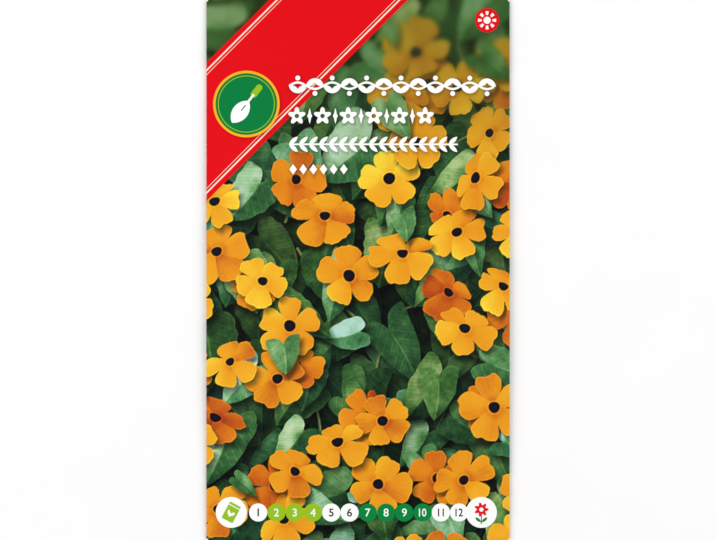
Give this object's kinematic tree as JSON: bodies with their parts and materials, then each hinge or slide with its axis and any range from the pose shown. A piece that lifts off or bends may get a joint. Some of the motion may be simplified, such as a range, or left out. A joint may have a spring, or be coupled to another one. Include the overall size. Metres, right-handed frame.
{
  "type": "seed packet",
  "caption": "Flat printed paper seed packet, folded and glued shut, with a heat-sealed sachet of seeds inside.",
  "frame": {"origin": "centre of the packet's outline on its flat back, in the plane that it lies on", "axes": "+Z out of the printed front, +Y up the front from its bottom edge to its top edge, +X to the right of somebody reading the front"},
  "size_m": [0.09, 0.161, 0.0047],
  "materials": {
    "printed_paper": "satin",
    "glue": "satin",
    "sachet_paper": "satin",
    "seed": "matte"
  },
  "bodies": {
    "root": {"envelope": "printed_paper", "glue_lap_seam": "glue", "glue_bottom_flap": "glue", "glue_top_flap": "glue", "sachet_back_web": "sachet_paper", "sachet_front_web": "sachet_paper", "seed_01": "seed", "seed_02": "seed", "seed_03": "seed", "seed_04": "seed", "seed_05": "seed", "seed_06": "seed", "seed_07": "seed", "seed_08": "seed", "seed_09": "seed", "seed_10": "seed", "seed_11": "seed", "seed_12": "seed", "seed_13": "seed", "seed_14": "seed", "seed_15": "seed", "seed_16": "seed", "seed_17": "seed", "seed_18": "seed", "seed_19": "seed", "seed_20": "seed"}
  },
  "joints": []
}
